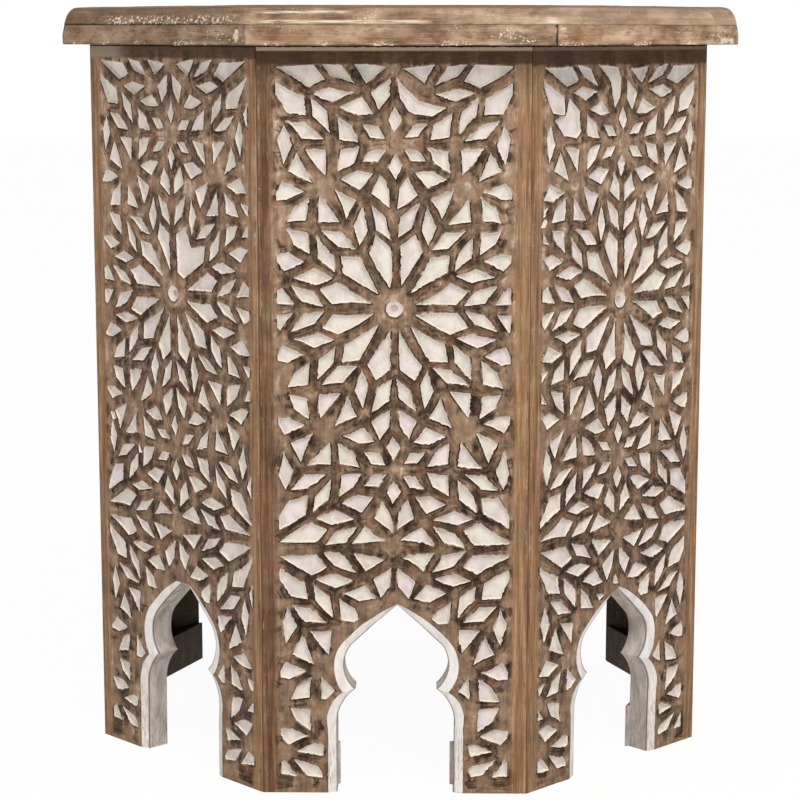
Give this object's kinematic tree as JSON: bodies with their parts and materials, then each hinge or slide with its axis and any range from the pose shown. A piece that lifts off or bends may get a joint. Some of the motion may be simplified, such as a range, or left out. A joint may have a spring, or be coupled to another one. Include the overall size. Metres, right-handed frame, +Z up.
{
  "type": "kursi stool",
  "caption": "Octagonal wooden drum stool with mitred carved panels, ogee arches at the floor and an overhanging round-edged top.",
  "frame": {"origin": "on the floor, under the middle of the top", "axes": "+Z up; the front panel faces -Y, and +X is to the right of someone who faces it"},
  "size_m": [0.457, 0.457, 0.508],
  "materials": {
    "carved_wood": "stained brown, with the carved recesses painted white and rubbed back",
    "top_wood": "stained brown, satin, worn at the edges with flecks of white paint",
    "inner_wood": "dark stain, matt",
    "screw_steel": "zinc plated"
  },
  "bodies": {
    "root": {"side_panel_front": "carved_wood", "side_panel_front_right": "carved_wood", "side_panel_right": "carved_wood", "side_panel_back_right": "carved_wood", "side_panel_back": "carved_wood", "side_panel_back_left": "carved_wood", "side_panel_left": "carved_wood", "side_panel_front_left": "carved_wood", "foot_block_1": "inner_wood", "foot_block_2": "inner_wood", "foot_block_3": "inner_wood", "foot_block_4": "inner_wood", "foot_block_5": "inner_wood", "foot_block_6": "inner_wood", "foot_block_7": "inner_wood", "foot_block_8": "inner_wood", "top_block_1": "inner_wood", "top_block_2": "inner_wood", "top_block_3": "inner_wood", "top_block_4": "inner_wood", "top_block_5": "inner_wood", "top_block_6": "inner_wood", "top_block_7": "inner_wood", "top_block_8": "inner_wood", "top_edging_front": "top_wood", "top_edging_front_right": "top_wood", "top_edging_right": "top_wood", "top_edging_back_right": "top_wood", "top_edging_back": "top_wood", "top_edging_back_left": "top_wood", "top_edging_left": "top_wood", "top_edging_front_left": "top_wood", "top_plank_1": "top_wood", "top_plank_2": "top_wood", "top_plank_3": "top_wood", "top_plank_4": "top_wood", "top_screws": "screw_steel"}
  },
  "joints": []
}
